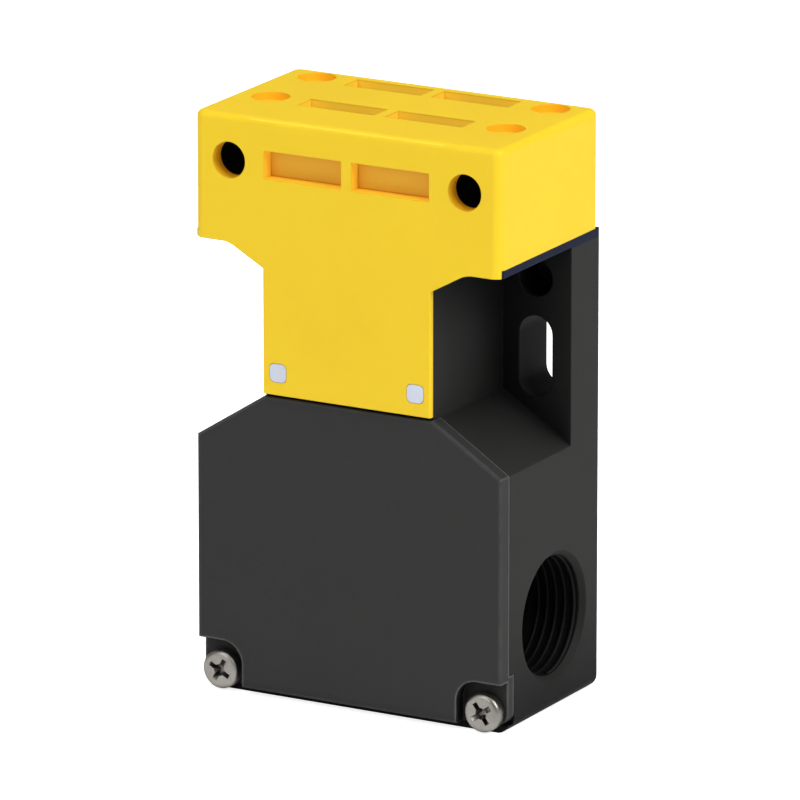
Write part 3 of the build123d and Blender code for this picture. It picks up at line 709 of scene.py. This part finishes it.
shank_length = shank_end - head_front - head_height
shank = lathe("screw_shank", [
    (0, -shank_length),
    (shank_radius * shank_tip_share, -shank_length),
    (shank_radius, -shank_length + shank_tip_length),
    (shank_radius, overlap),
    (0, overlap),
], shank_steps)
shank.materials.append(zinc_plate)
screw_thread = grow("screw_thread", thread_ridge, Radius=shank_radius, Turns=screw_turns,
                    Pitch=screw_pitch, Ridge=screw_ridge, Steps=shank_steps,
                    Sides=ridge_sides, Finish=zinc_plate)
face_front = Matrix.Rotation(math.radians(90), 4, "X")
screw_places = []
for side, sign in (("right", 1), ("left", -1)):
    seat = Matrix.Translation((sign * screw_x, head_front + head_height, screw_z))
    screw_places.append(seat @ face_front @ Matrix.Rotation(turns_of_screws[side], 4, "Z"))
thread_start = Matrix.Translation((0, 0, -shank_length + thread_offset))
captive_screws = piece_from("captive_screws", [
    (pan_head(), screw_places),
    (shank, screw_places),
    (screw_thread, [place @ thread_start for place in screw_places]),
], "lid")
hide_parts("lid_screws")

# Studio: a pale floor that looks white and casts little light back, three large soft lights
# and the camera at the photograph's angle.

floor_size = 6
floor_tone = (0.95, 0.95, 0.95, 1)
floor_roughness = 0.8
floor_glow_unseen = 0.1
floor_glow_seen = 0.8
pure_white = (1, 1, 1, 1)
bpy.ops.mesh.primitive_plane_add(size=floor_size)
floor = bpy.context.object
floor.name = "studio_floor"
floor_white = bpy.data.materials.new("floor_white")
floor_white.use_nodes = True
floor_shader = floor_white.node_tree.nodes["Principled BSDF"]
floor_shader.inputs["Base Color"].default_value = floor_tone
floor_shader.inputs["Roughness"].default_value = floor_roughness
floor_shader.inputs["Emission Color"].default_value = pure_white
floor_tree = floor_white.node_tree
floor_seen = floor_tree.nodes.new("ShaderNodeLightPath").outputs["Is Camera Ray"]
floor_glow = reckon(floor_tree, "MULTIPLY_ADD", floor_seen,
                    floor_glow_seen - floor_glow_unseen, floor_glow_unseen)
floor_tree.links.new(floor_glow, floor_shader.inputs["Emission Strength"])
floor.data.materials.append(floor_white)

sky_unseen = 0.26
sky_seen = 1.0
world = bpy.data.worlds.new("studio")
world.use_nodes = True
sky = world.node_tree
backdrop = sky.nodes["Background"]
backdrop.inputs["Color"].default_value = pure_white
seen = sky.nodes.new("ShaderNodeLightPath").outputs["Is Camera Ray"]
sky_power = sky.nodes.new("ShaderNodeMapRange")
sky_power.inputs["To Min"].default_value = sky_unseen
sky_power.inputs["To Max"].default_value = sky_seen
sky.links.new(seen, sky_power.inputs["Value"])
sky.links.new(sky_power.outputs["Result"], backdrop.inputs["Strength"])
bpy.context.scene.world = world
switch_middle = Vector((0, 0, 0.045))


def soft_light(name, azimuth, elevation, distance, size, power):
    """A square area light that faces the middle of the switch."""
    lamp = bpy.data.lights.new(name, "AREA")
    lamp.size = size
    lamp.energy = power
    holder = bpy.data.objects.new(name, lamp)
    bpy.context.scene.collection.objects.link(holder)
    turn, rise = math.radians(azimuth), math.radians(elevation)
    back = Vector((math.sin(turn) * math.cos(rise), -math.cos(turn) * math.cos(rise),
                   math.sin(rise)))
    holder.location = switch_middle + back * distance
    holder.rotation_euler = back.to_track_quat("Z", "Y").to_euler()


soft_light("key_light", 84, 38, 0.9, 0.5, 5.0)
soft_light("front_light", -16, 30, 1.0, 0.6, 2.7)
soft_light("top_light", 10, 82, 0.9, 0.6, 3.0)

camera_azimuth = math.radians(29.41)
camera_elevation = math.radians(15.63)
camera_distance = 1.5
camera_sensor = 36
camera_lens = 451.3
camera_reach = 20
camera_target = Vector((0.00059, -0.00006, 0.04517))
camera_data = bpy.data.cameras.new("photo_camera")
camera_data.sensor_width = camera_sensor
camera_data.lens = camera_lens
camera_data.clip_end = camera_reach
camera = bpy.data.objects.new("photo_camera", camera_data)
bpy.context.scene.collection.objects.link(camera)
camera_back = Vector((
    math.sin(camera_azimuth) * math.cos(camera_elevation),
    -math.cos(camera_azimuth) * math.cos(camera_elevation),
    math.sin(camera_elevation),
))
camera.location = camera_target + camera_back * camera_distance
camera.rotation_euler = camera_back.to_track_quat("Z", "Y").to_euler()
bpy.context.scene.camera = camera
bpy.context.scene.view_settings.view_transform = "Standard"
